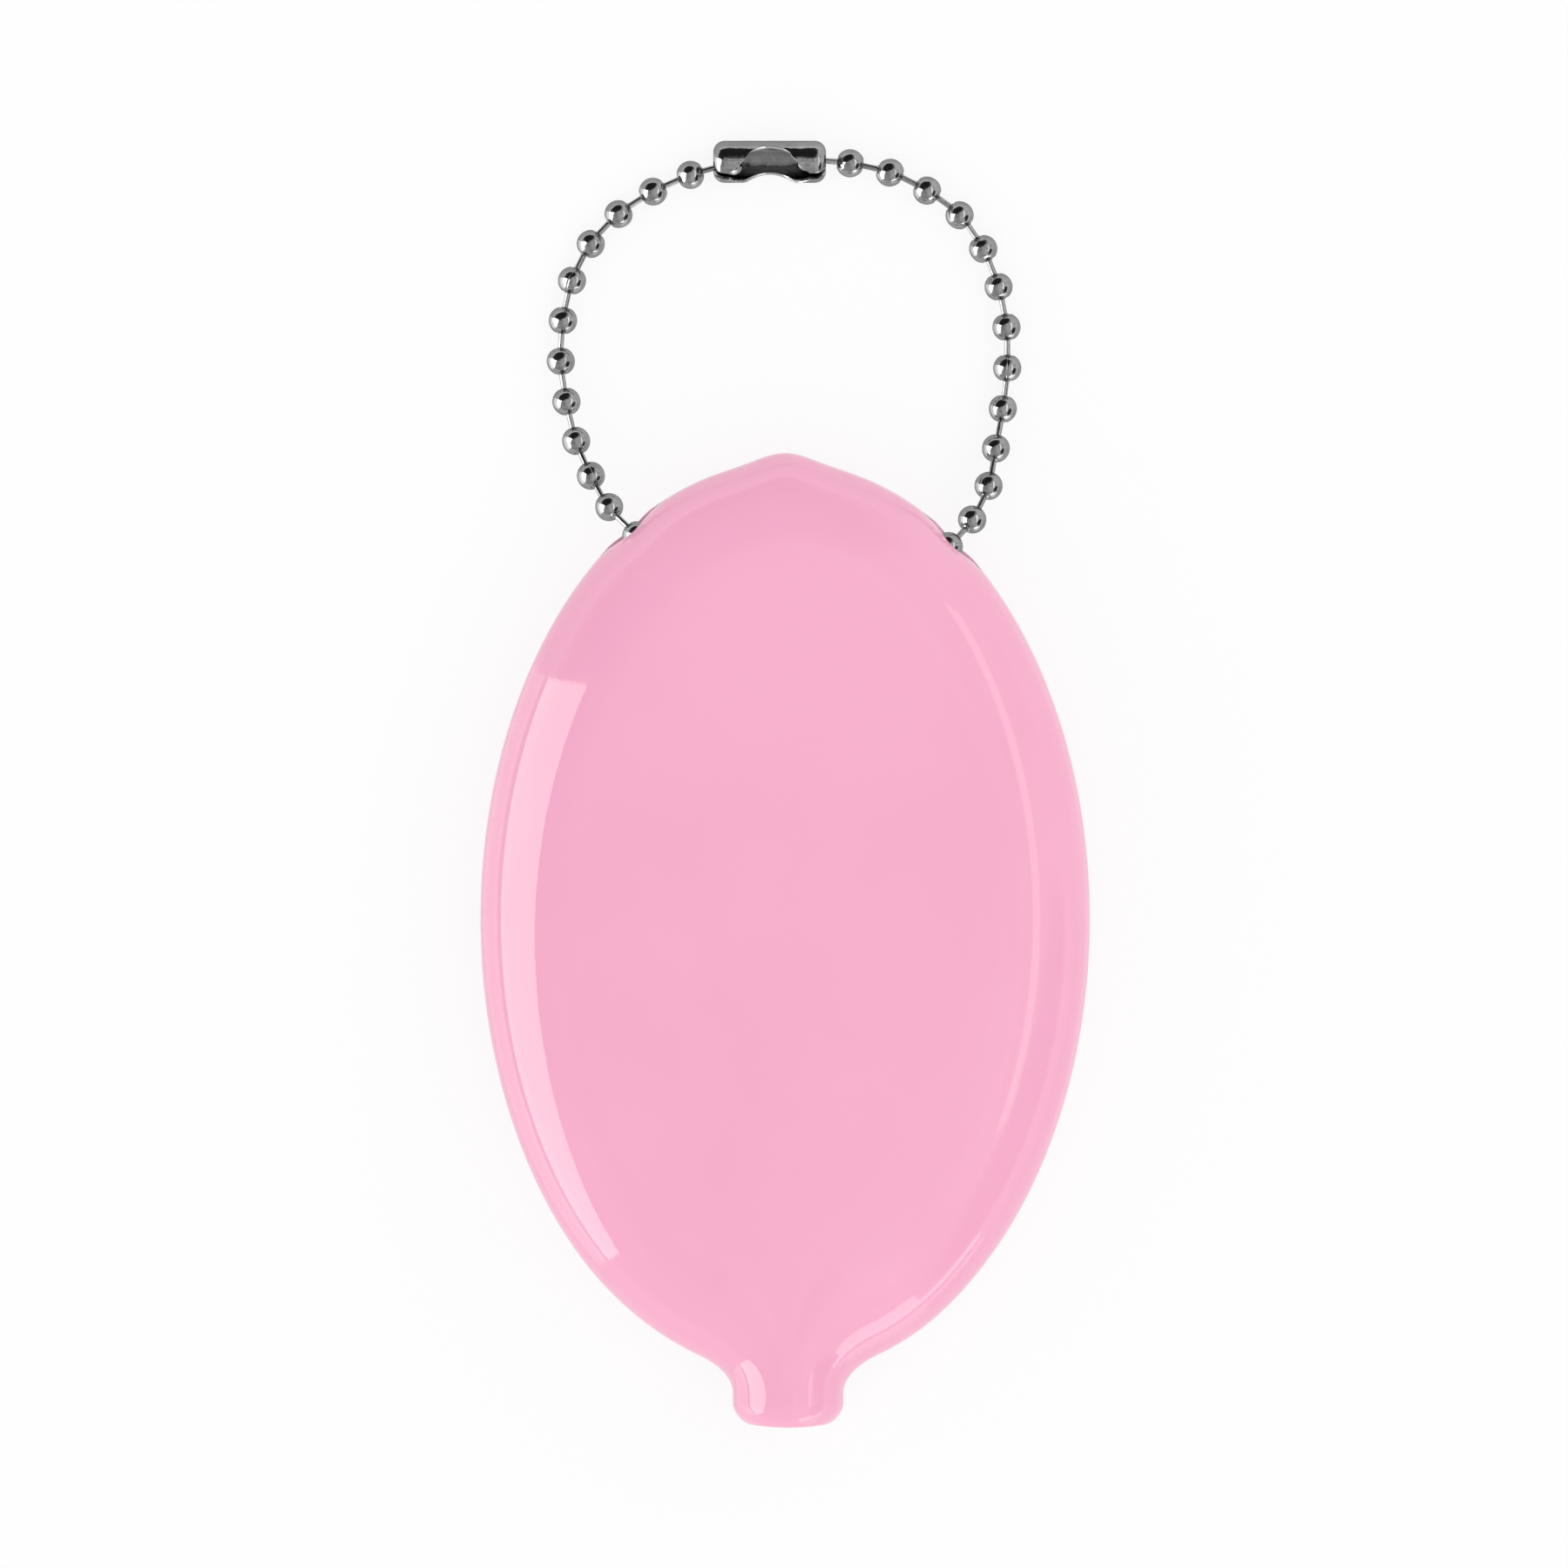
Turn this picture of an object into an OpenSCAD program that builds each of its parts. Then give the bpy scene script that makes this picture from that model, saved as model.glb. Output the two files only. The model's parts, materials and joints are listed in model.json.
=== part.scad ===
// Squeeze coin purse, lying on its back: a hollow oval vinyl body with a slit in
// the rear face, and a ball chain loop threaded through two cuts beside the tip.
// X runs across the body, Y from the neck to the tip, and Z up out of the front.
// The origin is on the rear face, at the middle of the slit. Sizes are in mm.

/* [Body] */
// Width of the body across its middle
body_w = 51.1; // [48:0.1:54]
// Length of the oval, without the tip and the neck
body_l = 76.5; // [74:0.1:79]
// Thickness of the body from the rear face to the front face
body_t = 12.4; // [11.6:0.1:13.2]
// Thickness of the vinyl wall
wall = 1.8; // [1.4:0.05:1.9]
// Width of the rounded rim, seen from the front
rim_w = 8.6; // [7.6:0.1:9.2]
// Height of the soft point above the oval
tip_rise = 0.8; // [0.2:0.05:1.2]
// Half-width over which the soft point rises
tip_spread = 2.85; // [2.2:0.05:3.5]

/* [Neck] */
// Outer diameter of the neck
neck_d = 9.3; // [8.8:0.1:9.8]
// Diameter of the bore that the mould stem leaves
bore_d = 6; // [5.9:0.1:6.2]
// Length over which the oval's end blends into the neck
neck_blend = 3.3; // [3:0.1:3.8]
// Length of the neck below its blend
neck_l = 2.8; // [2.4:0.1:3.4]
// Length of the neck's rounded end
neck_round = 1.9; // [1.2:0.1:2.2]

/* [Slit] */
// Length of the slit
slit_l = 56; // [52:0.5:56.5]
// Gap between the two lips at rest
slit_gap = 0.3; // [0.28:0.01:0.4]
// Distance from the slit to the line where each lip folds
lip_reach = 13.6; // [11:0.1:14.2]
// Clearance round each lip
lip_clear = 0.2; // [0.15:0.01:0.3]

/* [Chain cuts] */
// Distance of the left cut from the centre line
left_cut_x = 13.1; // [12.6:0.1:13.6]
// Distance of the right cut from the centre line
right_cut_x = 14.25; // [13.6:0.05:14.6]
// Length of each cut along the rim
cut_l = 5; // [4.4:0.1:5.6]
// Height of each cut where the bead props it open
cut_h = 2.8; // [2.7:0.05:3]
// Depth of the left bead's centre below the outline
left_inset = 0.95; // [0.6:0.05:1]
// Depth of the right bead's centre below the outline
right_inset = 0.75; // [0.5:0.05:0.9]

/* [Chain] */
// Diameter of a bead
bead_d = 2.4; // [2.35:0.01:2.45]
// Distance between neighbouring beads
pitch = 3.44; // [3.4:0.01:3.5]
// Sheet thickness of a bead
bead_sheet = 0.2; // [0.16:0.01:0.22]
// Diameter of the two holes in a bead
bead_hole_d = 0.96; // [0.94:0.01:1]
// Diameter of the wire of a pin
wire_d = 0.48; // [0.44:0.01:0.5]
// Diameter of the head at each end of a pin
head_d = 1.04; // [1.02:0.01:1.06]
// Width of the seam along a bead
seam_w = 0.08; // [0.05:0.01:0.12]

/* [Connector] */
// Outer diameter of the connector
conn_d = 3.54; // [3.5:0.02:3.7]
// Sheet thickness of the connector
conn_sheet = 0.3; // [0.25:0.01:0.34]
// Radius of the connector's rounded ends
conn_round = 0.95; // [0.8:0.05:1.1]
// Diameter of the hole in each end of the connector
conn_hole_d = 1.5; // [1.2:0.05:1.5]
// Width of the lengthwise gap in the connector
conn_gap = 0.8; // [0.7:0.05:0.9]
// Radius of the window across the gap
window_r = 2.3; // [2:0.05:2.4]
// Radius of the window's flared corners
window_flare = 2.6; // [2.2:0.1:2.8]
// Turn of the gap below the front, towards the purse
gap_turn = 47; // [30:1:60]

/* [Hidden] */
$fn = 48;
eps = 0.01;

pink = [0.965, 0.69, 0.81];
nickel = [0.72, 0.72, 0.73];

// Body: half sizes of the oval, and of the flat face inside its rim.
half_w = body_w / 2;
half_l = body_l / 2;
half_t = body_t / 2;
face_w = half_w - rim_w;
face_l = half_l - rim_w;

// The oval runs from just beside the tip to where the neck fillet starts.
tip_start = 88.8;
fillet_start = -72.6;
oval_steps = 40;
oval_crowding = 1.35;
fillet_steps = 8;
cavity_steps = 6;
round_steps = 5;
rib_steps = 12;

// Neck: a small flat keeps the two sides of each section apart.
neck_r = neck_d / 2;
neck_flat = 0.25;
neck_y = half_l * sin(fillet_start) - neck_blend;
neck_end = neck_l - neck_y;
neck_land = 0.3;

// Lips: the arc through the ends of the slit and the fold line.
lip_r = (slit_l * slit_l / 4 + lip_reach * lip_reach) / (2 * lip_reach);

// Beads, pins and their seats.
bead_r = bead_d / 2;
bead_in_r = bead_r - bead_sheet;
hole_r = bead_hole_d / 2;
wire_r = wire_d / 2;
head_r = head_d / 2;
seat = sqrt(bead_in_r * bead_in_r - hole_r * hole_r)
    - sqrt(head_r * head_r - hole_r * hole_r) - eps / 2;

// Headings of the chain's links in plan, from each cut to the connector.
left_headings = [134, 120, 113, 104, 98, 87, 77, 63, 47, 33, 24, 16];
right_headings = [49, 64, 79, 80, 84, 91, 101, 112, 125, 143, 154, 167, 175];
// Shares of the drop from each cut to the table, link by link.
left_drop_shares = [0.19, 0.32, 0.26, 0.11, 0.07, 0.05];
right_drop_shares = [0.34, 0.28, 0.25, 0.13];
inner_drop_shares = [-0.08, 0.36, 0.50, 0.22];
// Beads of the inner run, between the two beads in the cuts.
inner_beads = 8;

rest_z = bead_r;
clasp_z = conn_d / 2;
inner_z = wall + bead_r + 0.05;

left_links = len(left_headings);
right_links = len(right_headings);

// Outline of the body at an angle round the oval, with the point at the tip.
function tip_bump(x) = tip_rise * exp(-pow(x / tip_spread, 2));
function oval(a) = [half_w * cos(a), half_l * sin(a) + tip_bump(half_w * cos(a)) * max(sin(a), 0)];
function face(a) = [face_w * cos(a), face_l * sin(a)];

// A curve through a, bent towards b, and ending at c.
function bend(a, b, c, t) = (1 - t) * (1 - t) * a + 2 * t * (1 - t) * b + t * t * c;
function ease(t) = t * t * (3 - 2 * t);

// Where the straight line from p along d reaches the given x.
function at_x(p, d, x) = [x, p[1] + d[1] * (x - p[0]) / d[0]];
function oval_tangent(a, w, l) = [-w * sin(a), l * cos(a)];

// A station is [outline point, face point, half thickness].
function oval_station(i) =
    let (a = tip_start - (tip_start - fillet_start) * pow(i / oval_steps, oval_crowding))
    [oval(a), face(a), half_t];
function fillet_station(i) =
    let (
        t = i / fillet_steps,
        a = fillet_start,
        p = oval(a),
        f = face(a),
        p1 = at_x(p, oval_tangent(a, half_w, half_l), neck_r),
        f1 = at_x(f, oval_tangent(a, face_w, face_l), neck_flat)
    )
    [
        bend(p, p1, [neck_r, neck_y], t),
        bend(f, f1, [neck_flat, neck_y], t),
        half_t + (neck_r - half_t) * ease(t)
    ];
function round_station(i) =
    let (
        a = 90 * i / round_steps,
        land_r = bore_d / 2 + neck_land,
        r = land_r + (neck_r - land_r) * cos(a),
        y = -neck_end + neck_round * (1 - sin(a))
    )
    [[r, y], [neck_flat, y], r];

// The cavity's stations are the body's, moved in by the wall.
function moved_in(s, d) =
    let (rib = s[0] - s[1], k = 1 - d / norm(rib))
    [s[1] + rib * k, s[1], s[2] - d];

// A rib runs round the rim from the rear face to the front face.
function rib_point(s, side, j) =
    let (a = -90 + 180 * j / rib_steps, p = s[1] + (s[0] - s[1]) * cos(a))
    [side * p[0], p[1], half_t + s[2] * sin(a)];
function section(s) = concat(
    [for (j = [0:rib_steps]) rib_point(s, 1, j)],
    [for (j = [rib_steps:-1:0]) rib_point(s, -1, j)]
);

// Closed skin through the stations, from the tip to the neck.
module loft(stations) {
    n = len(stations);
    m = 2 * (rib_steps + 1);
    points = [for (s = stations) each section(s)];
    sides = [
        for (i = [0:n - 2], k = [0:m - 1])
            let (a = i * m + k, b = i * m + (k + 1) % m)
            each [[a, a + m, b + m], [a, b + m, b]]
    ];
    first = [for (j = [0:rib_steps - 1]) [j, j + 1, m - 2 - j, m - 1 - j]];
    last = [for (f = first) [for (k = [3:-1:0]) f[k] + (n - 1) * m]];
    polyhedron(points = points, faces = concat(first, sides, last), convexity = 6);
}

module body_solid() {
    loft(concat(
        [for (i = [0:oval_steps]) oval_station(i)],
        [for (i = [1:fillet_steps]) fillet_station(i)],
        [for (i = [0:round_steps]) round_station(i)]
    ));
}

module cavity() {
    loft(concat(
        [for (i = [0:oval_steps]) moved_in(oval_station(i), wall)],
        [for (i = [1:cavity_steps]) moved_in(fillet_station(i), wall)]
    ));
}

// Bore through the neck into the cavity, with a lead-in at its mouth.
module neck_bore() {
    bore_r = bore_d / 2;
    lead_in = neck_land * 0.7;
    translate([0, -neck_end, half_t])
        rotate([-90, 0, 0]) {
            translate([0, 0, -1]) cylinder(h = neck_l + neck_blend + 2, r = bore_r);
            translate([0, 0, -eps]) cylinder(h = 2 * lead_in, r1 = bore_r + lead_in, r2 = bore_r - eps);
        }
}

// Outline angle and outward direction at a distance from the centre line.
function cut_angle(x) = acos(x / half_w);
function cut_heading(x) = atan2(half_w * sin(cut_angle(x)), half_l * cos(cut_angle(x)));
function cut_point(x) = [x, half_l * sin(cut_angle(x)), half_t];
function along(heading, slope) =
    [cos(heading) * cos(slope), sin(heading) * cos(slope), sin(slope)];

// A straight cut in the rim, propped open to the shape of an eye by its bead.
module chain_cut(x) {
    arc_r = (cut_l * cut_l / 4 + cut_h * cut_h / 4) / cut_h;
    depth = 2 * wall;
    translate(cut_point(x))
        rotate([0, 0, cut_heading(x)])
            translate([-depth, 0, 0])
                rotate([90, 0, 90])
                    linear_extrude(depth + 1)
                        intersection() {
                            translate([0, cut_h / 2 - arc_r]) circle(arc_r);
                            translate([0, arc_r - cut_h / 2]) circle(arc_r);
                        }
}

// The right lip's outline, grown by a clearance.
module lip_outline(grow, edge) {
    intersection() {
        translate([slit_gap / 2 + lip_reach - lip_r, 0]) circle(lip_r + grow);
        translate([edge, -slit_l]) square([slit_l, 2 * slit_l]);
    }
}

module lip_opening() {
    for (side = [0, 1])
        mirror([side, 0, 0])
            translate([0, 0, -1])
                linear_extrude(wall + 1.4) lip_outline(lip_clear, -eps);
}

module shell() {
    color(pink)
        difference() {
            body_solid();
            cavity();
            neck_bore();
            chain_cut(right_cut_x);
            mirror([1, 0, 0]) chain_cut(left_cut_x);
            lip_opening();
        }
}

module lip(side) {
    color(pink)
        mirror([side, 0, 0])
            linear_extrude(wall) lip_outline(0, slit_gap / 2);
}

// Positions along a run of links, from a start, with a rise for each link.
function link_rise(i, n, shares) =
    i < len(shares) ? -shares[i] * (half_t - rest_z) : i == n - 1 ? clasp_z - rest_z : 0;
function step(heading, rise) =
    let (flat = sqrt(pitch * pitch - rise * rise))
    [flat * cos(heading), flat * sin(heading), rise];
function walk(p, headings, rises, n) =
    n == 0 ? p : walk(p, headings, rises, n - 1) + step(headings[n - 1], rises[n - 1]);
function run(p, headings, rises) = [for (n = [0:len(headings)]) walk(p, headings, rises, n)];
function outer_run(p, headings, shares) =
    let (n = len(headings))
    run(p, headings, [for (i = [0:n - 1]) link_rise(i, n, shares)]);

// The beads in the cuts.
function cut_bead(side, x, inset) =
    let (p = cut_point(x) - inset * along(cut_heading(x), 0))
    [side * p[0], p[1], p[2]];
left_start = cut_bead(-1, left_cut_x, left_inset);
right_start = cut_bead(1, right_cut_x, right_inset);

// The inner run sags from cut to cut: an arc in plan, found from its chord.
inner_links = inner_beads + 1;
inner_drop = half_t - inner_z;
function inner_rise(i) =
    let (k = min(i, inner_links - 1 - i), s = k < len(inner_drop_shares) ? inner_drop_shares[k] : 0)
    (i < inner_links / 2 ? -1 : 1) * s * inner_drop;
inner_rises = [for (i = [0:inner_links - 1]) inner_rise(i)];
function inner_turn(sag, i) = -sag + 2 * sag * (i + 0.5) / inner_links;
function sum(v, n) = n < 0 ? 0 : v[n] + sum(v, n - 1);
function inner_span(sag) = sum([
    for (i = [0:inner_links - 1]) sqrt(pitch * pitch - pow(inner_rises[i], 2)) * cos(inner_turn(sag, i))
], inner_links - 1);
function find_sag(span, low, high, tries) =
    let (mid = (low + high) / 2)
    tries == 0 ? mid
    : inner_span(mid) > span ? find_sag(span, mid, high, tries - 1)
    : find_sag(span, low, mid, tries - 1);
inner_chord = right_start - left_start;
inner_sag = find_sag(norm(inner_chord), 1, 110, 40);
inner_base = atan2(inner_chord[1], inner_chord[0]);
inner_headings = [for (i = [0:inner_links - 1]) inner_base + inner_turn(inner_sag, i)];

// All beads in order, from the left end bead to the right end bead.
left_run = outer_run(left_start, left_headings, left_drop_shares);
right_run = outer_run(right_start, right_headings, right_drop_shares);
inner_run = run(left_start, inner_headings, inner_rises);
beads = concat(
    [for (i = [left_links:-1:0]) left_run[i]],
    [for (i = [1:inner_beads]) inner_run[i]],
    right_run
);
last_bead = len(beads) - 1;
left_cut_bead = left_links;
right_cut_bead = left_links + inner_links;

// A bead's holes lie along the middle of its two links, and the pins seat there.
function unit(v) = v / norm(v);
function link_dir(i) = unit(beads[i + 1] - beads[i]);
function bead_axis(i) =
    i == 0 ? link_dir(0)
    : i == last_bead ? link_dir(last_bead - 1)
    : unit(link_dir(i - 1) + link_dir(i));
function pin_start(i) = beads[i] + seat * bead_axis(i);
function pin_end(i) = beads[i + 1] - seat * bead_axis(i + 1);

// Turns the Z axis to a direction.
module aim(d) {
    rotate([0, acos(d[2] / norm(d)), atan2(d[1], d[0])]) children();
}

// One hollow bead, closed round its pin heads along a seam.
module bead(i) {
    color(nickel)
        translate(beads[i])
            aim(bead_axis(i))
                difference() {
                    sphere(bead_r);
                    sphere(bead_in_r);
                    translate([0, 0, -bead_d]) cylinder(h = 2 * bead_d, r = hole_r);
                    translate([0, -seam_w / 2, -bead_d]) cube([bead_d, seam_w, 2 * bead_d]);
                }
}

// One pin: a wire with a round head at each end.
module pin(i) {
    p = pin_start(i);
    d = pin_end(i) - p;
    color(nickel)
        translate(p)
            aim(d) {
                sphere(head_r);
                cylinder(h = norm(d), r = wire_r);
                translate([0, 0, norm(d)]) sphere(head_r);
            }
}

// The pins that turn together at one height of the loop.
module rung_pins(k) {
    pin(left_links - k);
    pin(right_cut_bead + k - 1);
    if (k == left_links - 1) pin(right_cut_bead + k);
}

module clasp_pins() {
    pin(0);
    pin(last_bead - 1);
}

module inner_pins() {
    for (i = [left_cut_bead:right_cut_bead - 1]) pin(i);
}

// The connector lies level, and its two end beads sit a little off its axis.
conn_r = conn_d / 2;
conn_axis = [1, 0, 0];
conn_span = (beads[last_bead] - beads[0]) * conn_axis;
conn_mid = (beads[0] + beads[last_bead]) / 2;
conn_nest = sqrt(bead_r * bead_r - conn_hole_d * conn_hole_d / 4);
nest_clear = 0.12;
conn_l = conn_span + 2 * (conn_nest + nest_clear + conn_sheet);

// Half section of a barrel with rounded ends.
module barrel_profile(r, l, round) {
    intersection() {
        translate([0, -l]) square([2 * r, 2 * l]);
        union() {
            translate([0, -l / 2]) square([r - round, l]);
            translate([0, -l / 2 + round]) square([r, l - 2 * round]);
            for (end = [-1, 1]) translate([r - round, end * (l / 2 - round)]) circle(round);
        }
    }
}

// Window across the gap: a round notch with flared corners, seen from the side.
// Its centre stands this far outside the barrel, and the two arcs cross by a little.
window_rise = 0.37;
flare_cross = 0.03;
module window_profile() {
    rise = window_flare + window_rise;
    apart = window_r + window_flare - flare_cross;
    flare_x = sqrt(apart * apart - rise * rise);
    meet_y = window_rise - rise * (window_r - flare_cross / 2) / apart;
    translate([0, window_rise]) circle(window_r);
    difference() {
        translate([-flare_x, meet_y]) square([2 * flare_x, conn_r - meet_y]);
        for (side = [-1, 1]) translate([side * flare_x, -window_flare]) circle(window_flare);
    }
}

module connector() {
    color(nickel)
        translate(conn_mid)
            aim(conn_axis)
                difference() {
                    rotate_extrude()
                        difference() {
                            barrel_profile(conn_r, conn_l, conn_round);
                            barrel_profile(
                                conn_r - conn_sheet,
                                conn_l - 2 * conn_sheet,
                                conn_round - conn_sheet
                            );
                            translate([-eps, -conn_l]) square([conn_hole_d / 2 + eps, 2 * conn_l]);
                        }
                    rotate([0, 0, gap_turn]) {
                        translate([-conn_d, -conn_gap / 2, -conn_l]) cube([conn_d, conn_gap, 2 * conn_l]);
                        translate([-conn_r, 0, 0])
                            rotate([0, -90, 90])
                                linear_extrude(2 * conn_d, center = true) window_profile();
                    }
                }
}

left_names = [for (k = [1:left_links - 1]) str("left_bead_", k)];
right_names = [for (k = [1:right_links - 1]) str("right_bead_", k)];
inner_names = [for (k = [1:inner_beads]) str("inner_bead_", k)];
rung_names = [for (k = [1:left_links - 1]) str("rung_pins_", k)];

shell();
lip(1);  // left_lip
lip(0);  // right_lip
connector();
bead(left_cut_bead);
bead(right_cut_bead);
bead(0);  // left_end_bead
bead(last_bead);  // right_end_bead
for (k = [1:left_links - 1])
    bead(left_links - k);
for (k = [1:right_links - 1])
    bead(right_cut_bead + k);
for (k = [1:inner_beads])
    bead(left_cut_bead + k);
for (k = [1:left_links - 1])
    rung_pins(k);
clasp_pins();
inner_pins();
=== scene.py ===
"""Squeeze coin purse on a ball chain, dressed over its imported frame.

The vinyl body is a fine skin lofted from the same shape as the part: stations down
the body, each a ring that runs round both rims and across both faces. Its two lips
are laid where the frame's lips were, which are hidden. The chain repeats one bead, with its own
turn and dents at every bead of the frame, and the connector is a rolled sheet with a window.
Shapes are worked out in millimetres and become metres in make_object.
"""
import json
import math

import bmesh
import bpy
import numpy as np
from mathutils import Matrix, Vector


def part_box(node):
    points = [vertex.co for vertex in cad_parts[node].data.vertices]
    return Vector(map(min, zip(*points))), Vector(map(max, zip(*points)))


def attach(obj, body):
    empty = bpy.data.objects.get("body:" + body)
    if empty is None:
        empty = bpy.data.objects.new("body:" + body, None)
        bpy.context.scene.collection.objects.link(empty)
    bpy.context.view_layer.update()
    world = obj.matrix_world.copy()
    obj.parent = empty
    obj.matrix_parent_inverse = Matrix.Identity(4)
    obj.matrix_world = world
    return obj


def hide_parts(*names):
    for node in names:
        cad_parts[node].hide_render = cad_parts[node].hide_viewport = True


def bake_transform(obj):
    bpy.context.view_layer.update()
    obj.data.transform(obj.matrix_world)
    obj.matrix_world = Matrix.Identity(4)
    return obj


MM = 0.001

# Body, as in the part.
HALF_W, HALF_L, HALF_T = 25.55, 38.25, 6.2
WALL = 1.8
RIM_W = 8.6
FACE_W, FACE_L = HALF_W - RIM_W, HALF_L - RIM_W
TIP_RISE, TIP_SPREAD = 0.8, 2.85
FILLET_START = math.radians(-72.6)
NECK_R, NECK_FLAT, NECK_BLEND, NECK_L = 4.65, 0.25, 3.3, 2.8
NECK_ROUND, NECK_LAND, BORE_R = 1.9, 0.3, 3.0
NECK_Y = HALF_L * math.sin(FILLET_START) - NECK_BLEND
NECK_END = NECK_Y - NECK_L
CAVITY_END = 0.75
# The soft neck leans a little to the right, from below the end of the slit.
NECK_LEAN, LEAN_START, LEAN_L = 0.25, -28.4, 9.0
# Its cut end bows: the sides end this much short of the middle.
MOUTH_BOW = 0.5

# Slit and lips, as in the part.
SLIT_L, SLIT_HALF_GAP, LIP_REACH = 56.0, 0.15, 13.6
LIP_R = (SLIT_L ** 2 / 4 + LIP_REACH ** 2) / (2 * LIP_REACH)
FOLD_X = SLIT_HALF_GAP + LIP_REACH
LIP_EDGE_ROUND = 0.35

# Chain cuts, as in the part. The front edge of each is pressed in by its bead.
CUT_X = {-1: 13.1, 1: 14.25}
CUT_L, CUT_H = 5.0, 2.8
CUT_PRESS = 0.3
PRESS_L = 7.4

# Steps of the fine skin.
OVAL_STEPS, FILLET_STEPS, NECK_STEPS, ROUND_STEPS = 280, 40, 6, 18
RIB_STEPS, FACE_STEPS, REAR_STEPS = 26, 24, 16

# Beads and connector, as in the part.
BEAD_R, BEAD_SHEET, HOLE_R = 1.2, 0.2, 0.48
CONN_R, CONN_SHEET, CONN_ROUND, CONN_HOLE_R = 1.77, 0.3, 0.95, 0.75
NEST_CLEAR = 0.12
CONN_HALF_GAP, CONN_TURN = 0.4, math.radians(47)
WINDOW_R, WINDOW_RISE, WINDOW_FLARE, FLARE_CROSS = 2.3, 0.37, 2.6, 0.03
CONN_END_STEPS, CONN_ROWS, CONN_COLUMNS = 10, 120, 96
CONN_EDGE_ROUND = 0.07

# Colours are linear. A bead's dents are (angular size, depth in mm).
PINK_LOW, PINK_HIGH = (0.925, 0.418, 0.597), (0.945, 0.436, 0.617)
VINYL_GLOSS_TINT = (1.0, 1.0, 0.8)
# The barrel's cut edge tone is brighter as a painted highlight along its rim.
# The barrel's inside tone is darker partly for its dull unplated sheet and partly as painted
# shade in its hollow.
NICKEL, NICKEL_INSIDE_DULL_PAINTED_SHADE, NICKEL_CUT_PAINTED_HIGHLIGHT = (0.40, 0.40, 0.404), (0.27, 0.27, 0.275), (0.55, 0.55, 0.55)
NICKEL_EDGE_TONE = (0.45, 0.45, 0.45)
DENT_COUNT, DENT_SIZE, DENT_DEPTH = 11, (0.25, 0.55), (0.008, 0.03)
SEAM_DEPTH, SEAM_WIDTH = 0.035, 0.04

# Camera straight above the purse, with the field of the photograph. From here on, metres.
FIELD = 0.1314
CAMERA_HEIGHT = 4.0
VIEW_CENTRE = (-0.0001, 0.0113)
SENSOR = 36.0

# Floor: white by its own glow to camera and mirrors, and polished to mirrors alone.
FLOOR_HALF, FLOOR_DROP = 6.0, 0.00002
FLOOR_WHITE, FLOOR_GLOW_SHARE = 0.95, 0.85
POLISH_ROUGHNESS, POLISH_IOR = 0.08, 2.2

# Room seen in the gloss: a grey level, shades laid over it, and a white horizon.
# A shade is (azimuth, elevation, inner angle, outer angle, level).
ROOM_LEVEL = 0.55
HORIZON_BAND = (7.0, 13.0)
ROOM_SHADES = (
    (0, 25, 50, 75, 0.85),
    (100, 36, 24, 44, 0.03),
    (134, 43, 17, 35, 0.03),
    (338, 20, 14, 27, 0.04),
)

# Lamps. A soft box is (name, near place, far place, height, radiance), where a place is
# (azimuth, distance), and it starts above the floor at a share of its distance.
BOX_LIFT = 0.048
SOFT_BOXES = (
    ("soft_box_left", (221, 0.95), (154, 0.31), 0.355, 4.0),
    ("soft_box_front", (309, 0.58), (283, 0.55), 0.185, 2.5),
    ("soft_box_front_low", (324, 0.62), (309, 0.58), 0.055, 2.5),
)
BAND_CORNERS = ((-17, 39), (40, 39), (40, 46), (-17, 46))
BAND_DISTANCE, BAND_RADIANCE = 1.2, 1.5
DOME_LEVEL = 0.542
DOME_LEAN = (150, 64)


def smooth(t):
    t = np.clip(t, 0.0, 1.0)
    return t * t * (3 - 2 * t)


def unit(v):
    v = np.asarray(v, float)
    return v / np.linalg.norm(v)


# Materials

def add_node(tree, kind, settings=None, **inputs):
    made = tree.nodes.new(kind)
    for key, value in (settings or {}).items():
        setattr(made, key, value)
    for key, value in inputs.items():
        made.inputs[key.replace("_", " ")].default_value = value
    return made


def noise(tree, place, scale, detail=3.0, roughness=0.5):
    made = add_node(tree, "ShaderNodeTexNoise", Scale=scale, Detail=detail, Roughness=roughness)
    tree.links.new(place, made.inputs["Vector"])
    return made.outputs["Fac"]


def mapped(tree, value, low, high, to_low=0.0, to_high=1.0, way="LINEAR"):
    made = add_node(tree, "ShaderNodeMapRange", {"interpolation_type": way},
                    From_Min=low, From_Max=high, To_Min=to_low, To_Max=to_high)
    tree.links.new(value, made.inputs["Value"])
    return made.outputs["Result"]


def worked_out(tree, operation, a, b):
    made = add_node(tree, "ShaderNodeMath", {"operation": operation})
    for value, socket in zip((a, b), made.inputs):
        if isinstance(value, float):
            socket.default_value = value
        else:
            tree.links.new(value, socket)
    return made.outputs[0]


def faded(tree, factor, value, level):
    """A value that goes over to a plain level as the factor rises."""
    made = tree.nodes.new("ShaderNodeMix")
    made.inputs["B"].default_value = level
    tree.links.new(factor, made.inputs["Factor"])
    tree.links.new(value, made.inputs["A"])
    return made.outputs["Result"]


def covered(tree, factor, under, over):
    """One shader laid over another."""
    made = tree.nodes.new("ShaderNodeMixShader")
    for value, socket in zip((factor, under, over), made.inputs):
        tree.links.new(value, socket)
    return made.outputs[0]


def mixed(tree, factor, a, b):
    made = tree.nodes.new("ShaderNodeMixRGB")
    made.inputs["Color1"].default_value = (*a, 1)
    made.inputs["Color2"].default_value = (*b, 1)
    tree.links.new(factor, made.inputs["Fac"])
    return made.outputs["Color"]


def bumped(tree, height, strength, distance, under=None):
    made = add_node(tree, "ShaderNodeBump", Strength=strength, Distance=distance)
    tree.links.new(height, made.inputs["Height"])
    if under is not None:
        tree.links.new(under, made.inputs["Normal"])
    return made.outputs["Normal"]


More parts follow.
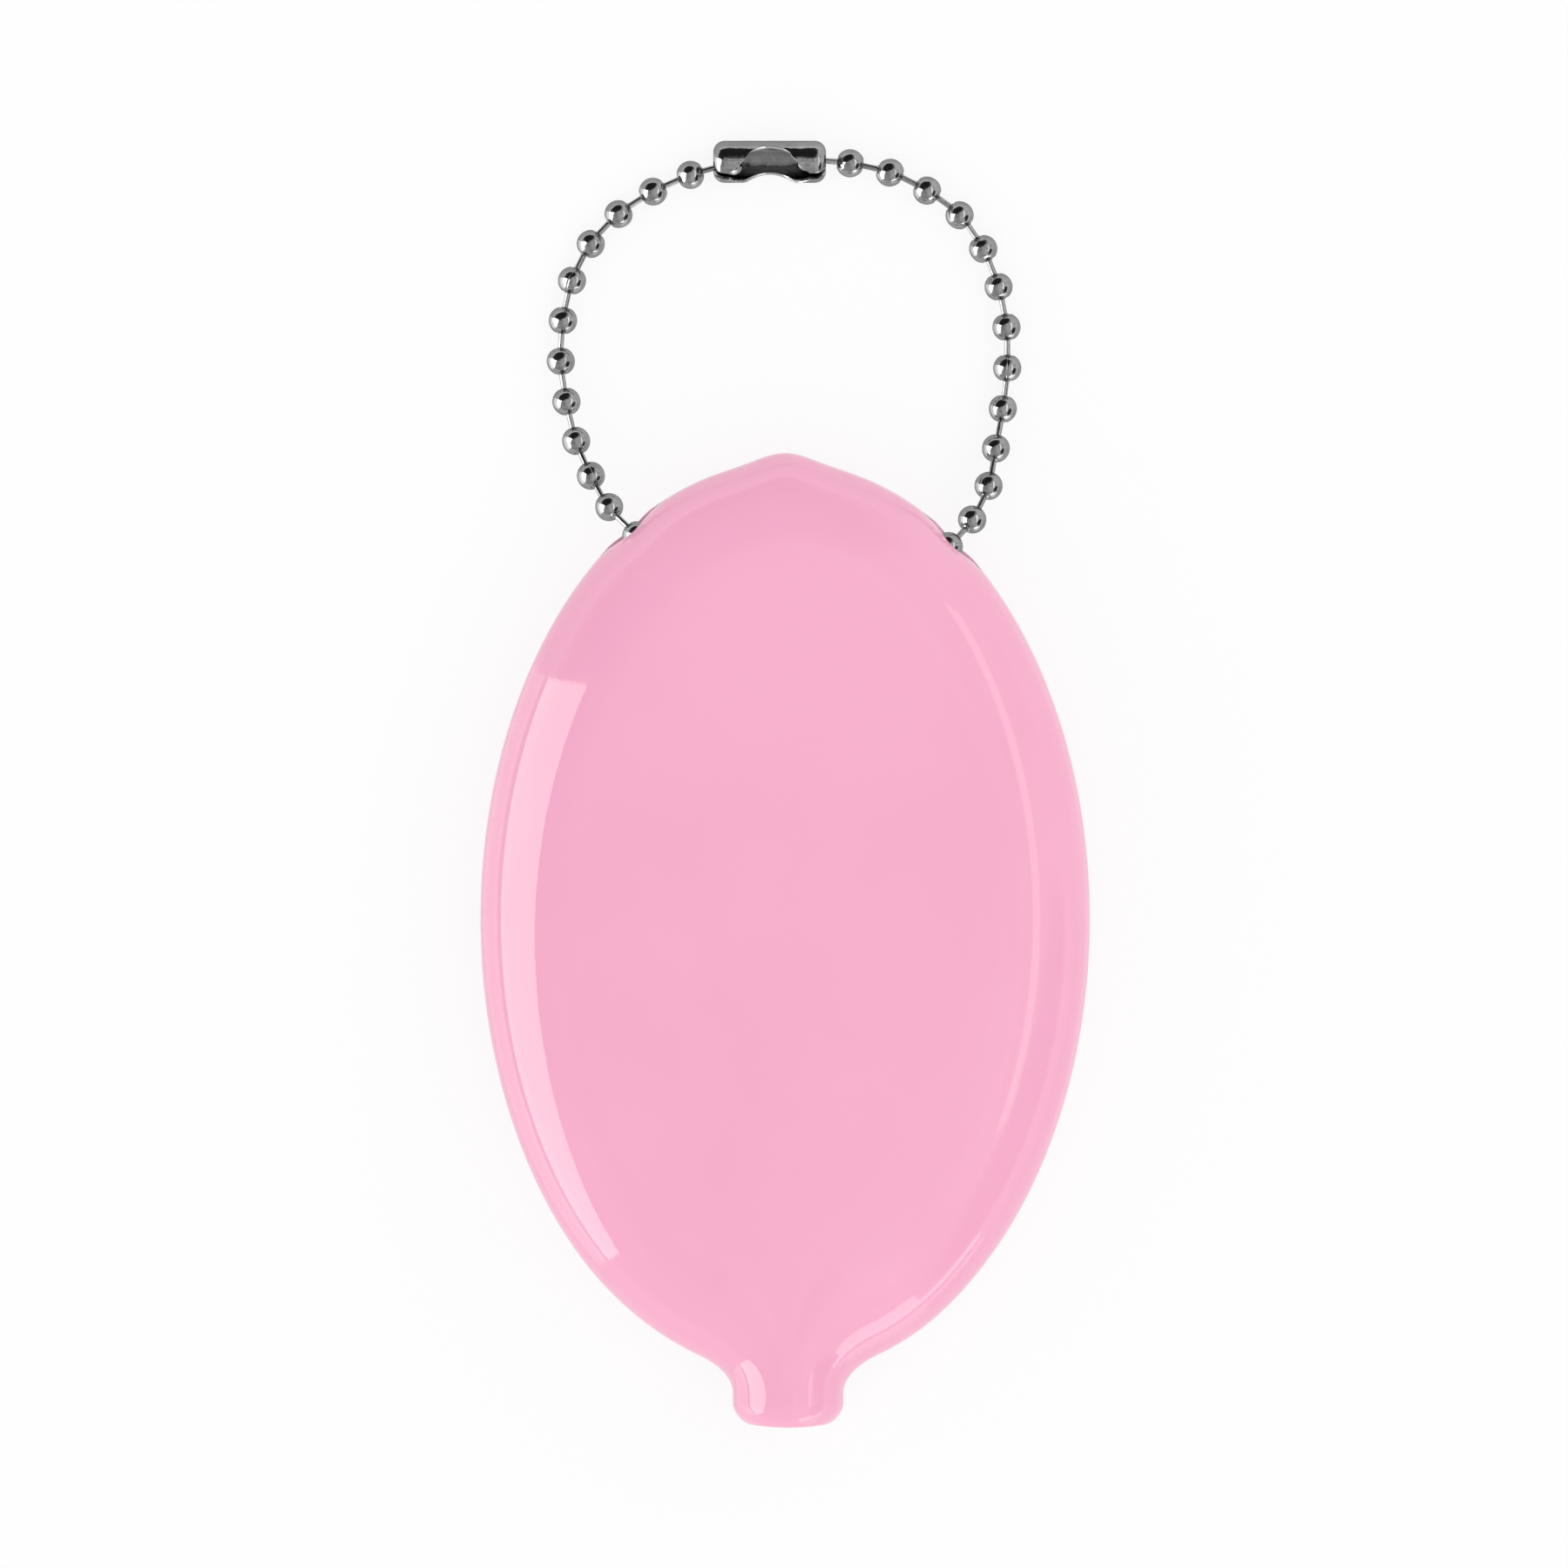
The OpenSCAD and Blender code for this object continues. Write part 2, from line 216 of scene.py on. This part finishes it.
def new_material(name):
    material = bpy.data.materials.new(name)
    material.use_nodes = True
    tree = material.node_tree
    place = tree.nodes.new("ShaderNodeTexCoord").outputs["Object"]
    return material, tree, tree.nodes["Principled BSDF"], place


def vinyl_material():
    """Glossy soft vinyl: an even pink, with the slow ripple of a dipped skin in its gloss."""
    material, tree, shader, place = new_material("vinyl_pink")
    cloud = mapped(tree, noise(tree, place, 45.0), 0.35, 0.65, 0.0, 1.0)
    colour = mixed(tree, cloud, PINK_LOW, PINK_HIGH)
    tree.links.new(colour, shader.inputs["Base Color"])
    gloss = mapped(tree, noise(tree, place, 500.0), 0.3, 0.7, 0.02, 0.05)
    tree.links.new(gloss, shader.inputs["Roughness"])
    ripple = bumped(tree, noise(tree, place, 90.0, 2.0), 0.04, 0.0004)
    grain = bumped(tree, noise(tree, place, 2500.0), 0.05, 0.00004, ripple)
    tree.links.new(grain, shader.inputs["Normal"])
    shader.inputs["IOR"].default_value = 1.5
    shader.inputs["Specular Tint"].default_value = (*VINYL_GLOSS_TINT, 1)
    return material


def nickel_material(name, tone, wear, polish=0.06):
    """Bright nickel plate, with faint dents and rub marks that break up its mirror."""
    material, tree, shader, place = new_material(name)
    patches = mapped(tree, noise(tree, place, 700.0), 0.35, 0.65, 0.0, 1.0)
    colour = mixed(tree, patches, [0.85 * c for c in tone], tone)
    tree.links.new(colour, shader.inputs["Base Color"])
    shader.inputs["Metallic"].default_value = 1.0
    shader.inputs["Specular Tint"].default_value = (*NICKEL_EDGE_TONE, 1)
    rub = mapped(tree, noise(tree, place, 2200.0, 5.0, 0.7), 0.35, 0.75, polish, polish + wear)
    tree.links.new(rub, shader.inputs["Roughness"])
    dents = bumped(tree, noise(tree, place, 800.0, 2.0), 0.4, 0.0002)
    scratches = bumped(tree, noise(tree, place, 7000.0), 0.06, 0.00002, dents)
    tree.links.new(scratches, shader.inputs["Normal"])
    return material


# Meshes

def make_object(name, points, faces, material):
    """A smooth-shaded object from points in millimetres, welded where points meet."""
    mesh = bpy.data.meshes.new(name)
    mesh.from_pydata((np.asarray(points, float) * MM).tolist(), [], faces)
    bm = bmesh.new()
    bm.from_mesh(mesh)
    bmesh.ops.remove_doubles(bm, verts=bm.verts, dist=1e-6)
    bmesh.ops.dissolve_degenerate(bm, edges=bm.edges, dist=1e-7)
    bmesh.ops.recalc_face_normals(bm, faces=bm.faces)
    bm.to_mesh(mesh)
    bm.free()
    mesh.materials.append(material)
    mesh.shade_smooth()
    made = bpy.data.objects.new(name, mesh)
    bpy.context.scene.collection.objects.link(made)
    return made


def grid_faces(first, rows, columns, split=()):
    """Quads over a grid of points, with no face between a split column and the next."""
    return [
        (first + k * columns + c, first + k * columns + c + 1,
         first + (k + 1) * columns + c + 1, first + (k + 1) * columns + c)
        for k in range(rows - 1) for c in range(columns - 1) if c not in split
    ]


def place_piece(piece, body, slot, *replaced):
    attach(piece, body)
    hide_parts(*replaced)
    return piece


# Vinyl body. A station is (outline point, face point, half thickness).

def oval(a):
    x = HALF_W * math.cos(a)
    bump = TIP_RISE * math.exp(-(x / TIP_SPREAD) ** 2) * max(math.sin(a), 0)
    return np.array([x, HALF_L * math.sin(a) + bump])


def face(a):
    return np.array([FACE_W * math.cos(a), FACE_L * math.sin(a)])


def tangent(a, w, l):
    return np.array([-w * math.sin(a), l * math.cos(a)])


def at_x(p, d, x):
    return np.array([x, p[1] + d[1] * (x - p[0]) / d[0]])


def bend(a, b, c, t):
    return (1 - t) ** 2 * a + 2 * t * (1 - t) * b + t * t * c


def fillet_station(t):
    p, f = oval(FILLET_START), face(FILLET_START)
    p1 = at_x(p, tangent(FILLET_START, HALF_W, HALF_L), NECK_R)
    f1 = at_x(f, tangent(FILLET_START, FACE_W, FACE_L), NECK_FLAT)
    return (
        bend(p, p1, np.array([NECK_R, NECK_Y]), t),
        bend(f, f1, np.array([NECK_FLAT, NECK_Y]), t),
        HALF_T + (NECK_R - HALF_T) * smooth(t),
    )


def outer_stations():
    made = []
    for i in range(OVAL_STEPS + 1):
        a = math.pi / 2 - (math.pi / 2 - FILLET_START) * (i / OVAL_STEPS) ** 1.2
        made.append((oval(a), face(a), HALF_T))
    made += [fillet_station(i / FILLET_STEPS) for i in range(1, FILLET_STEPS + 1)]
    for i in range(1, NECK_STEPS + 1):
        y = NECK_Y - (NECK_L - NECK_ROUND) * i / NECK_STEPS
        made.append((np.array([NECK_R, y]), np.array([NECK_FLAT, y]), NECK_R))
    land = BORE_R + NECK_LAND
    for i in range(1, ROUND_STEPS + 1):
        a = math.pi / 2 * i / ROUND_STEPS
        r = land + (NECK_R - land) * math.cos(a) ** 1.2
        y = NECK_END + NECK_ROUND * (1 - math.sin(a))
        made.append((np.array([r, y]), np.array([NECK_FLAT, y]), r))
    return made


def moved_in(station):
    outline, flat, half_t = station
    across = outline - flat
    return flat + across * (1 - WALL / np.linalg.norm(across)), flat, half_t - WALL


def inner_stations(outer):
    """The cavity's stations under the outer ones, then the bore down to the mouth."""
    last = OVAL_STEPS + int(CAVITY_END * FILLET_STEPS)
    made = [moved_in(s) for s in outer[:last + 1]]
    start = made[-1]
    bore_top = start[0][1] - 1.0
    for t in np.linspace(0, 1, 7)[1:]:
        bore = (np.array([BORE_R, bore_top]), np.array([0.0, bore_top]), BORE_R)
        made.append(tuple(a + (b - a) * smooth(t) for a, b in zip(start, bore)))
    lead_in = NECK_LAND * 0.7
    for y, r in ((NECK_END + lead_in, BORE_R), (NECK_END, BORE_R + lead_in)):
        made.append((np.array([r, y]), np.array([0.0, y]), r))
    return made


def lens_half_width(y):
    """Distance from the centre line to where a lip leaves the rear wall."""
    return max(0.0, FOLD_X - LIP_R + math.sqrt(max(LIP_R ** 2 - y * y, 0)))


def cut_shares(side, p):
    """How far a chain cut is open at an outline point, and how far its front is pressed in."""
    a = math.acos(CUT_X[side] / HALF_W)
    mid = np.array([CUT_X[side], HALF_L * math.sin(a)])
    off = float(np.dot(p - mid, unit(tangent(a, HALF_W, HALF_L))))
    if np.linalg.norm(p - mid) > PRESS_L:
        return 0.0, 0.0
    return max(0.0, 1 - (2 * off / CUT_L) ** 2), max(0.0, 1 - (2 * off / PRESS_L) ** 2)


def rib(station, side):
    """Two halves of one rib, rear and front, which part where a chain cut is open."""
    outline, flat, half_t = station
    reach = np.linalg.norm(outline - flat)
    opened, pressed = cut_shares(side, outline)
    lift = math.asin(min(CUT_H / 2 * opened / half_t, 0.9))
    halves = []
    up = math.pi / 2
    for start, end, press_in in ((-up, -lift, 0.0), (up, lift, CUT_PRESS * pressed)):
        row = []
        for t in np.linspace(0, 1, RIB_STEPS + 1):
            a = start + (end - start) * (1 - (1 - t) ** 1.25)
            share = math.cos(a) - press_in / reach * smooth(1.6 * t - 0.6)
            p = flat + (outline - flat) * share
            row.append((side * p[0], p[1], HALF_T + half_t * math.sin(a)))
        halves.append(row)
    return halves[0], halves[1][::-1]


def ring(station):
    """One station's ring, from the slit's right edge round the body to its left edge."""
    _, flat, half_t = station
    y, low, high = flat[1], HALF_T - half_t, HALF_T + half_t
    edge = min(lens_half_width(y), flat[0])
    rear = [(x, y, low) for x in np.linspace(edge, flat[0], REAR_STEPS + 1)[:-1]]
    front = [(x, y, high) for x in np.linspace(flat[0], -flat[0], FACE_STEPS + 1)[1:-1]]
    right_low, right_high = rib(station, 1)
    left_low, left_high = rib(station, -1)
    mirrored = [(-x, y, z) for x, y, z in rear[::-1]]
    return rear + right_low + right_high + front + left_high[::-1] + left_low[::-1] + mirrored


COLUMNS = 2 * REAR_STEPS + 4 * (RIB_STEPS + 1) + FACE_STEPS - 1
RIGHT_CUT_COLUMN = REAR_STEPS + RIB_STEPS
LEFT_CUT_COLUMN = COLUMNS - 2 - RIGHT_CUT_COLUMN


def settled(p):
    """A point of the skin after the soft neck has leaned and the mouth has bowed."""
    x, y, z = p
    bow = MOUTH_BOW * (x / NECK_R) ** 2 * smooth((NECK_Y - y) / NECK_L)
    return x + NECK_LEAN * smooth((LEAN_START - y) / LEAN_L), y + bow, z


def make_shell(material):
    """Outer skin, inner skin, the wall between them at the mouth and at both chain cuts."""
    outer = outer_stations()
    inner = inner_stations(outer)
    points = [settled(p) for s in outer + inner for p in ring(s)]
    split = (RIGHT_CUT_COLUMN, LEFT_CUT_COLUMN)
    under = len(outer) * COLUMNS
    faces = grid_faces(0, len(outer), COLUMNS, split)
    faces += grid_faces(under, len(inner), COLUMNS, split)
    mouth, end = under - COLUMNS, under + (len(inner) - 1) * COLUMNS
    faces += [(mouth + c, mouth + c + 1, end + c + 1, end + c) for c in range(COLUMNS - 1)]
    for k in range(OVAL_STEPS):
        for side, column in ((1, RIGHT_CUT_COLUMN), (-1, LEFT_CUT_COLUMN)):
            if max(cut_shares(side, outer[k][0])[0], cut_shares(side, outer[k + 1][0])[0]) > 0:
                for c in (column, column + 1):
                    a, b = k * COLUMNS + c, (k + 1) * COLUMNS + c
                    faces.append((a, b, under + b, under + a))
    return make_object("purse_body", points, faces, material)


def lip_row(y):
    """A lip's section at one height: rear side, rounded edge at the slit, cavity side."""
    edge = lens_half_width(y)
    gap = min(SLIT_HALF_GAP * smooth(edge / 1.5), edge * 0.5)
    r = min(LIP_EDGE_ROUND, 0.3 * (edge - gap))
    rear = [(x, 0.0) for x in np.linspace(edge, gap + r, REAR_STEPS + 1)]
    low = [(gap + r - r * math.sin(a), r - r * math.cos(a))
           for a in np.linspace(0, math.pi / 2, 6)[1:]]
    high = [(x, WALL - z) for x, z in low[::-1]]
    cavity = [(x, WALL) for x, _ in rear[::-1]]
    return [(x, y, z) for x, z in rear + low + high + cavity]


def make_lip(side, material):
    """One lip, a flat strip from the line where it leaves the wall to its edge at the slit."""
    heights = [s[1][1] for s in outer_stations() if lens_half_width(s[1][1]) > 0]
    heights = [y for y in heights if abs(y) < FACE_L]
    rows = [lip_row(y) for y in heights]
    points = [(side * x, y, z) for row in rows for x, y, z in row]
    name = "right" if side > 0 else "left"
    faces = grid_faces(0, len(rows), len(rows[0]))
    lip = make_object(f"{name}_lip_skin", points, faces, material)
    body = f"{name}_lip"
    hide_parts(body)
    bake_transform(lip)
    return lip


# Chain

def bead_names():
    left = ["left_end_bead"] + [f"left_bead_{k}" for k in range(11, 0, -1)] + ["left_cut_bead"]
    inner = [f"inner_bead_{k}" for k in range(1, 9)]
    right = ["right_cut_bead"] + [f"right_bead_{k}" for k in range(1, 13)] + ["right_end_bead"]
    return left + inner + right


def bead_profile():
    """Half section of a bead, (polar angle, radius), from one hole's inner lip to the other's."""
    rim = math.asin(HOLE_R / BEAD_R)
    rolled = ((-0.02, BEAD_SHEET), (-0.035, 0.13), (-0.02, 0.06), (0.02, 0.02), (0.08, 0.003))
    lip = [(rim + turn, BEAD_R - depth) for turn, depth in rolled]
    arc = [(a, BEAD_R) for a in np.linspace(rim + 0.16, math.pi - rim - 0.16, 26)]
    return lip + arc + [(math.pi - a, r) for a, r in lip[::-1]]


def make_bead(name, seed, where, way, material):
    """A bead of formed sheet: rolled-in holes, a seam along one side, and small dents."""
    rng = np.random.default_rng(seed)
    seam_way = rng.normal(size=3)
    dents = [(unit(rng.normal(size=3)), rng.uniform(*DENT_SIZE), rng.uniform(*DENT_DEPTH))
             for _ in range(DENT_COUNT)]
    by_seam = np.array([0.03, 0.07, 0.12])
    turns = np.concatenate([[0.0], by_seam, np.linspace(0.25, 2 * math.pi - 0.25, 46),
                            2 * math.pi - by_seam[::-1]])
    seam = [SEAM_DEPTH * math.exp(-(min(t, 2 * math.pi - t) / SEAM_WIDTH) ** 2) for t in turns]
    profile = bead_profile()
    points = []
    for turn, groove in zip(turns, seam):
        for a, r in profile:
            side = math.sin(a)
            d = np.array([side * math.cos(turn), side * math.sin(turn), math.cos(a)])
            dent = sum(depth * math.exp(-((1 - d @ at) / size ** 2)) for at, size, depth in dents)
            points.append(d * (r - groove * side ** 2 - dent))
    points += points[:len(profile)]
    faces = grid_faces(0, len(turns) + 1, len(profile))
    return make_object(name, stand(points, where, seam_way, way), faces, material)


def centre(node):
    low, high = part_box(node)
    return np.array((low + high) / 2) / MM


def stand(points, where, x_way, z_way):
    """Points made along Z, stood at a place with their Z and X along two directions."""
    z = unit(z_way)
    x = unit(x_way - z * (x_way @ z))
    return np.asarray(points) @ np.array([x, np.cross(z, x), z]) + where


def make_beads(bodies, material):
    names = bead_names()
    places = [centre(n) for n in names]
    links = [unit(b - a) for a, b in zip(places, places[1:])]
    for i, name in enumerate(names):
        way = links[max(i - 1, 0)] + links[min(i, len(links) - 1)]
        bead = make_bead(f"{name}_shell", 100 + i, places[i], way, material)
        place_piece(bead, bodies[name], "nickel", name)
    return places


def window_depth(s):
    """Depth of the window below the barrel's crown, at a distance from its middle."""
    apart = WINDOW_R + WINDOW_FLARE - FLARE_CROSS
    flare_x = math.sqrt(apart ** 2 - (WINDOW_FLARE + WINDOW_RISE) ** 2)
    s = abs(s)
    if s >= flare_x:
        return 0.0
    if s < flare_x * WINDOW_R / apart:
        return math.sqrt(WINDOW_R ** 2 - s ** 2) - WINDOW_RISE
    return WINDOW_FLARE - math.sqrt(WINDOW_FLARE ** 2 - (flare_x - s) ** 2)


def make_connector(end_places, material):
    """A rolled barrel: rounded ends, a lengthwise gap, and a window across the gap."""
    start, end = end_places
    axis = np.array([1.0, 0.0, 0.0])
    nest = math.sqrt(BEAD_R ** 2 - CONN_HOLE_R ** 2)
    half = (end - start) @ axis / 2 + nest + NEST_CLEAR + CONN_SHEET
    profile = [(half, CONN_HOLE_R), (half, CONN_R - CONN_ROUND)]
    profile += [(half - CONN_ROUND * (1 - math.cos(a)), CONN_R - CONN_ROUND * (1 - math.sin(a)))
                for a in np.linspace(0, math.pi / 2, CONN_END_STEPS + 1)[1:]]
    straight = half - CONN_ROUND
    rows = profile + [(s, CONN_R) for s in np.linspace(straight, -straight, CONN_ROWS + 2)[1:-1]]
    rows += [(-s, r) for s, r in profile[::-1]]
    points = []
    for s, r in rows:
        side = math.asin(min(CONN_HALF_GAP / r, 1))
        edge = max(side, math.acos((CONN_R - window_depth(s)) / CONN_R))
        for t in np.linspace(edge, 2 * math.pi - edge, CONN_COLUMNS):
            points.append((r * math.cos(t), r * math.sin(t), s))
    gap_way = np.array([0.0, -math.sin(CONN_TURN), math.cos(CONN_TURN)])
    placed = stand(points, (start + end) / 2, gap_way, axis)
    faces = grid_faces(0, len(rows), CONN_COLUMNS)
    barrel = make_object("connector_barrel", placed, faces, material)
    # Inside of the barrel: dull sheet whose darker tone is partly painted shade.
    barrel.data.materials.append(nickel_material("nickel_inside_dull_painted_shade", NICKEL_INSIDE_DULL_PAINTED_SHADE, 0.2, 0.12))
    # Cut rim of the sheet: a brighter tone that paints a highlight line along the edge.
    barrel.data.materials.append(nickel_material("nickel_cut_edge_painted_highlight", NICKEL_CUT_PAINTED_HIGHLIGHT, 0.15, 0.15))
    sheet = barrel.modifiers.new("sheet", "SOLIDIFY")
    sheet.thickness, sheet.offset = CONN_SHEET * MM, -1
    sheet.material_offset, sheet.material_offset_rim = 1, 2
    edges = barrel.modifiers.new("edges", "BEVEL")
    edges.width, edges.segments, edges.limit_method = CONN_EDGE_ROUND * MM, 2, "ANGLE"
    edges.angle_limit = math.radians(50)
    return place_piece(barrel, "connector", "nickel", "connector")


# Studio

def direction(azimuth, elevation):
    a, e = math.radians(azimuth), math.radians(elevation)
    return math.cos(a) * math.cos(e), math.sin(a) * math.cos(e), math.sin(e)


def area_light(name, corners, radiance):
    """A soft box through four corners in metres, seen in the gloss and not by the camera."""
    a, b, c, d = (Vector(p) for p in corners)
    across, up = (b - a), (d - a)
    data = bpy.data.lights.new(name, "AREA")
    data.shape = "RECTANGLE"
    data.size, data.size_y = across.length, up.length
    data.energy = radiance * math.pi * data.size * data.size_y
    light = bpy.data.objects.new(name, data)
    x, y = across.normalized(), up.normalized()
    z = x.cross(y)
    turn = Matrix((x, y, z)).transposed().to_4x4()
    light.matrix_world = Matrix.Translation((a + c) / 2) @ turn
    light.visible_camera = False
    light.visible_diffuse = False
    bpy.context.scene.collection.objects.link(light)


def standing_box(name, near, far, height, radiance):
    """A soft box that stands near the floor between two places, facing the object."""
    feet = []
    for azimuth, distance in (far, near):
        x, y, _ = direction(azimuth, 0)
        feet.append(distance * Vector((x, y, BOX_LIFT)))
    up = Vector((0, 0, height))
    area_light(name, (*feet, feet[1] + up, feet[0] + up), radiance)


def make_floor():
    """White floor that keeps the soft shadow and, in mirrors, shows the soft boxes."""
    material = bpy.data.materials.new("floor_white")
    material.use_nodes = True
    tree = material.node_tree
    shader = tree.nodes["Principled BSDF"]
    shader.inputs["Base Color"].default_value = (FLOOR_WHITE, FLOOR_WHITE, FLOOR_WHITE, 1)
    shader.inputs["Roughness"].default_value = 1.0
    shader.inputs["Specular IOR Level"].default_value = 0.0
    rays = tree.nodes.new("ShaderNodeLightPath")
    camera, mirrors = rays.outputs["Is Camera Ray"], rays.outputs["Is Glossy Ray"]
    glow = add_node(tree, "ShaderNodeEmission", Strength=1.0)
    seen = worked_out(tree, "MAXIMUM", camera, mirrors)
    share = worked_out(tree, "MULTIPLY", seen, FLOOR_GLOW_SHARE)
    white = covered(tree, share, shader.outputs[0], glow.outputs[0])
    polish = add_node(tree, "ShaderNodeBsdfAnisotropic", Roughness=POLISH_ROUGHNESS)
    grazing = add_node(tree, "ShaderNodeFresnel", IOR=POLISH_IOR)
    mirrored = worked_out(tree, "MULTIPLY", mirrors, grazing.outputs[0])
    surface = covered(tree, mirrored, white, polish.outputs[0])
    tree.links.new(surface, tree.nodes["Material Output"].inputs["Surface"])
    mesh = bpy.data.meshes.new("floor")
    turns = ((-1, -1), (1, -1), (1, 1), (-1, 1))
    corners = [(FLOOR_HALF * x, FLOOR_HALF * y, -FLOOR_DROP) for x, y in turns]
    mesh.from_pydata(corners, [], [(0, 1, 2, 3)])
    mesh.materials.append(material)
    floor = bpy.data.objects.new("floor", mesh)
    bpy.context.scene.collection.objects.link(floor)


def make_world():
    """A plain room: white at the horizon, grey above, darker on the far left and near right."""
    world = bpy.data.worlds.new("room")
    bpy.context.scene.world = world
    world.use_nodes = True
    tree = world.node_tree
    background = tree.nodes["Background"]
    way = tree.nodes.new("ShaderNodeTexCoord").outputs["Generated"]
    level = add_node(tree, "ShaderNodeValue")
    level.outputs[0].default_value = ROOM_LEVEL
    value = level.outputs[0]
    for azimuth, elevation, inner, outer, shade in ROOM_SHADES:
        dot = add_node(tree, "ShaderNodeVectorMath", {"operation": "DOT_PRODUCT"})
        dot.inputs[1].default_value = direction(azimuth, elevation)
        tree.links.new(way, dot.inputs[0])
        low, high = (math.cos(math.radians(angle)) for angle in (outer, inner))
        share = mapped(tree, dot.outputs["Value"], low, high, way="SMOOTHSTEP")
        value = faded(tree, share, value, shade)
    clutter = mapped(tree, noise(tree, way, 5.0, 2.0), 0.38, 0.62, 0.75, 1.15)
    value = worked_out(tree, "MULTIPLY", value, clutter)
    parts = tree.nodes.new("ShaderNodeSeparateXYZ")
    tree.links.new(way, parts.inputs[0])
    low, high = (math.sin(math.radians(elevation)) for elevation in HORIZON_BAND[::-1])
    horizon = mapped(tree, parts.outputs["Z"], low, high, way="SMOOTHSTEP")
    tree.links.new(faded(tree, horizon, value, 1.0), background.inputs["Color"])
    background.inputs["Strength"].default_value = 1.0


def make_lights():
    for name, near, far, height, radiance in SOFT_BOXES:
        standing_box(name, near, far, height, radiance)
    corners = [BAND_DISTANCE * Vector(direction(*corner)) for corner in BAND_CORNERS]
    area_light("soft_band_right", corners, BAND_RADIANCE)
    dome = bpy.data.lights.new("dome", "SUN")
    dome.angle = math.pi
    dome.energy = math.pi * DOME_LEVEL
    lamp = bpy.data.objects.new("dome", dome)
    lamp.rotation_euler = Vector(direction(*DOME_LEAN)).to_track_quat("Z", "Y").to_euler()
    lamp.visible_glossy = False
    bpy.context.scene.collection.objects.link(lamp)


def make_camera():
    data = bpy.data.cameras.new("camera")
    data.sensor_width = SENSOR
    data.lens = SENSOR * (CAMERA_HEIGHT - HALF_T * MM) / FIELD
    data.clip_start, data.clip_end = 0.01, 30.0
    camera = bpy.data.objects.new("camera", data)
    camera.location = (*VIEW_CENTRE, CAMERA_HEIGHT)
    bpy.context.scene.collection.objects.link(camera)
    bpy.context.scene.camera = camera


def dress(frame):
    """Every piece of the scene; the shell, beads and connector on the bodies that the record
    names.
    """
    vinyl = vinyl_material()
    nickel = nickel_material("nickel_chain", NICKEL, 0.10)
    members = frame["record"]["behaviour"]["bodies"]
    bodies = {node: body for body, nodes in members.items() for node in nodes}
    shell = place_piece(make_shell(vinyl), "purse", "vinyl", "shell")
    shell.visible_glossy = False
    for side in (-1, 1):
        make_lip(side, vinyl)
    places = make_beads(bodies, nickel)
    make_connector((places[0], places[-1]), nickel)
    for name, node in frame["nodes"].items():
        if name.endswith("pins") or "_pins_" in name:
            node.data.materials.clear()
            node.data.materials.append(nickel)
    make_floor()
    make_world()
    make_lights()


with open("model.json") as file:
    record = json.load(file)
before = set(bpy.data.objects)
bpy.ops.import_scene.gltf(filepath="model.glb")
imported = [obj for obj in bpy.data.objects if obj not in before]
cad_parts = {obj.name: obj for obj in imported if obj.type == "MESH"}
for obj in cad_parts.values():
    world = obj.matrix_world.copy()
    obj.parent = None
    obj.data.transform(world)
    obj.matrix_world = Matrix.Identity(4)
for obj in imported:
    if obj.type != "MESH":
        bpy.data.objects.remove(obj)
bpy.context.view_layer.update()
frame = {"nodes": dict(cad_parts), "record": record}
make_camera()
bpy.context.scene.view_settings.view_transform = "Standard"
dress(frame)
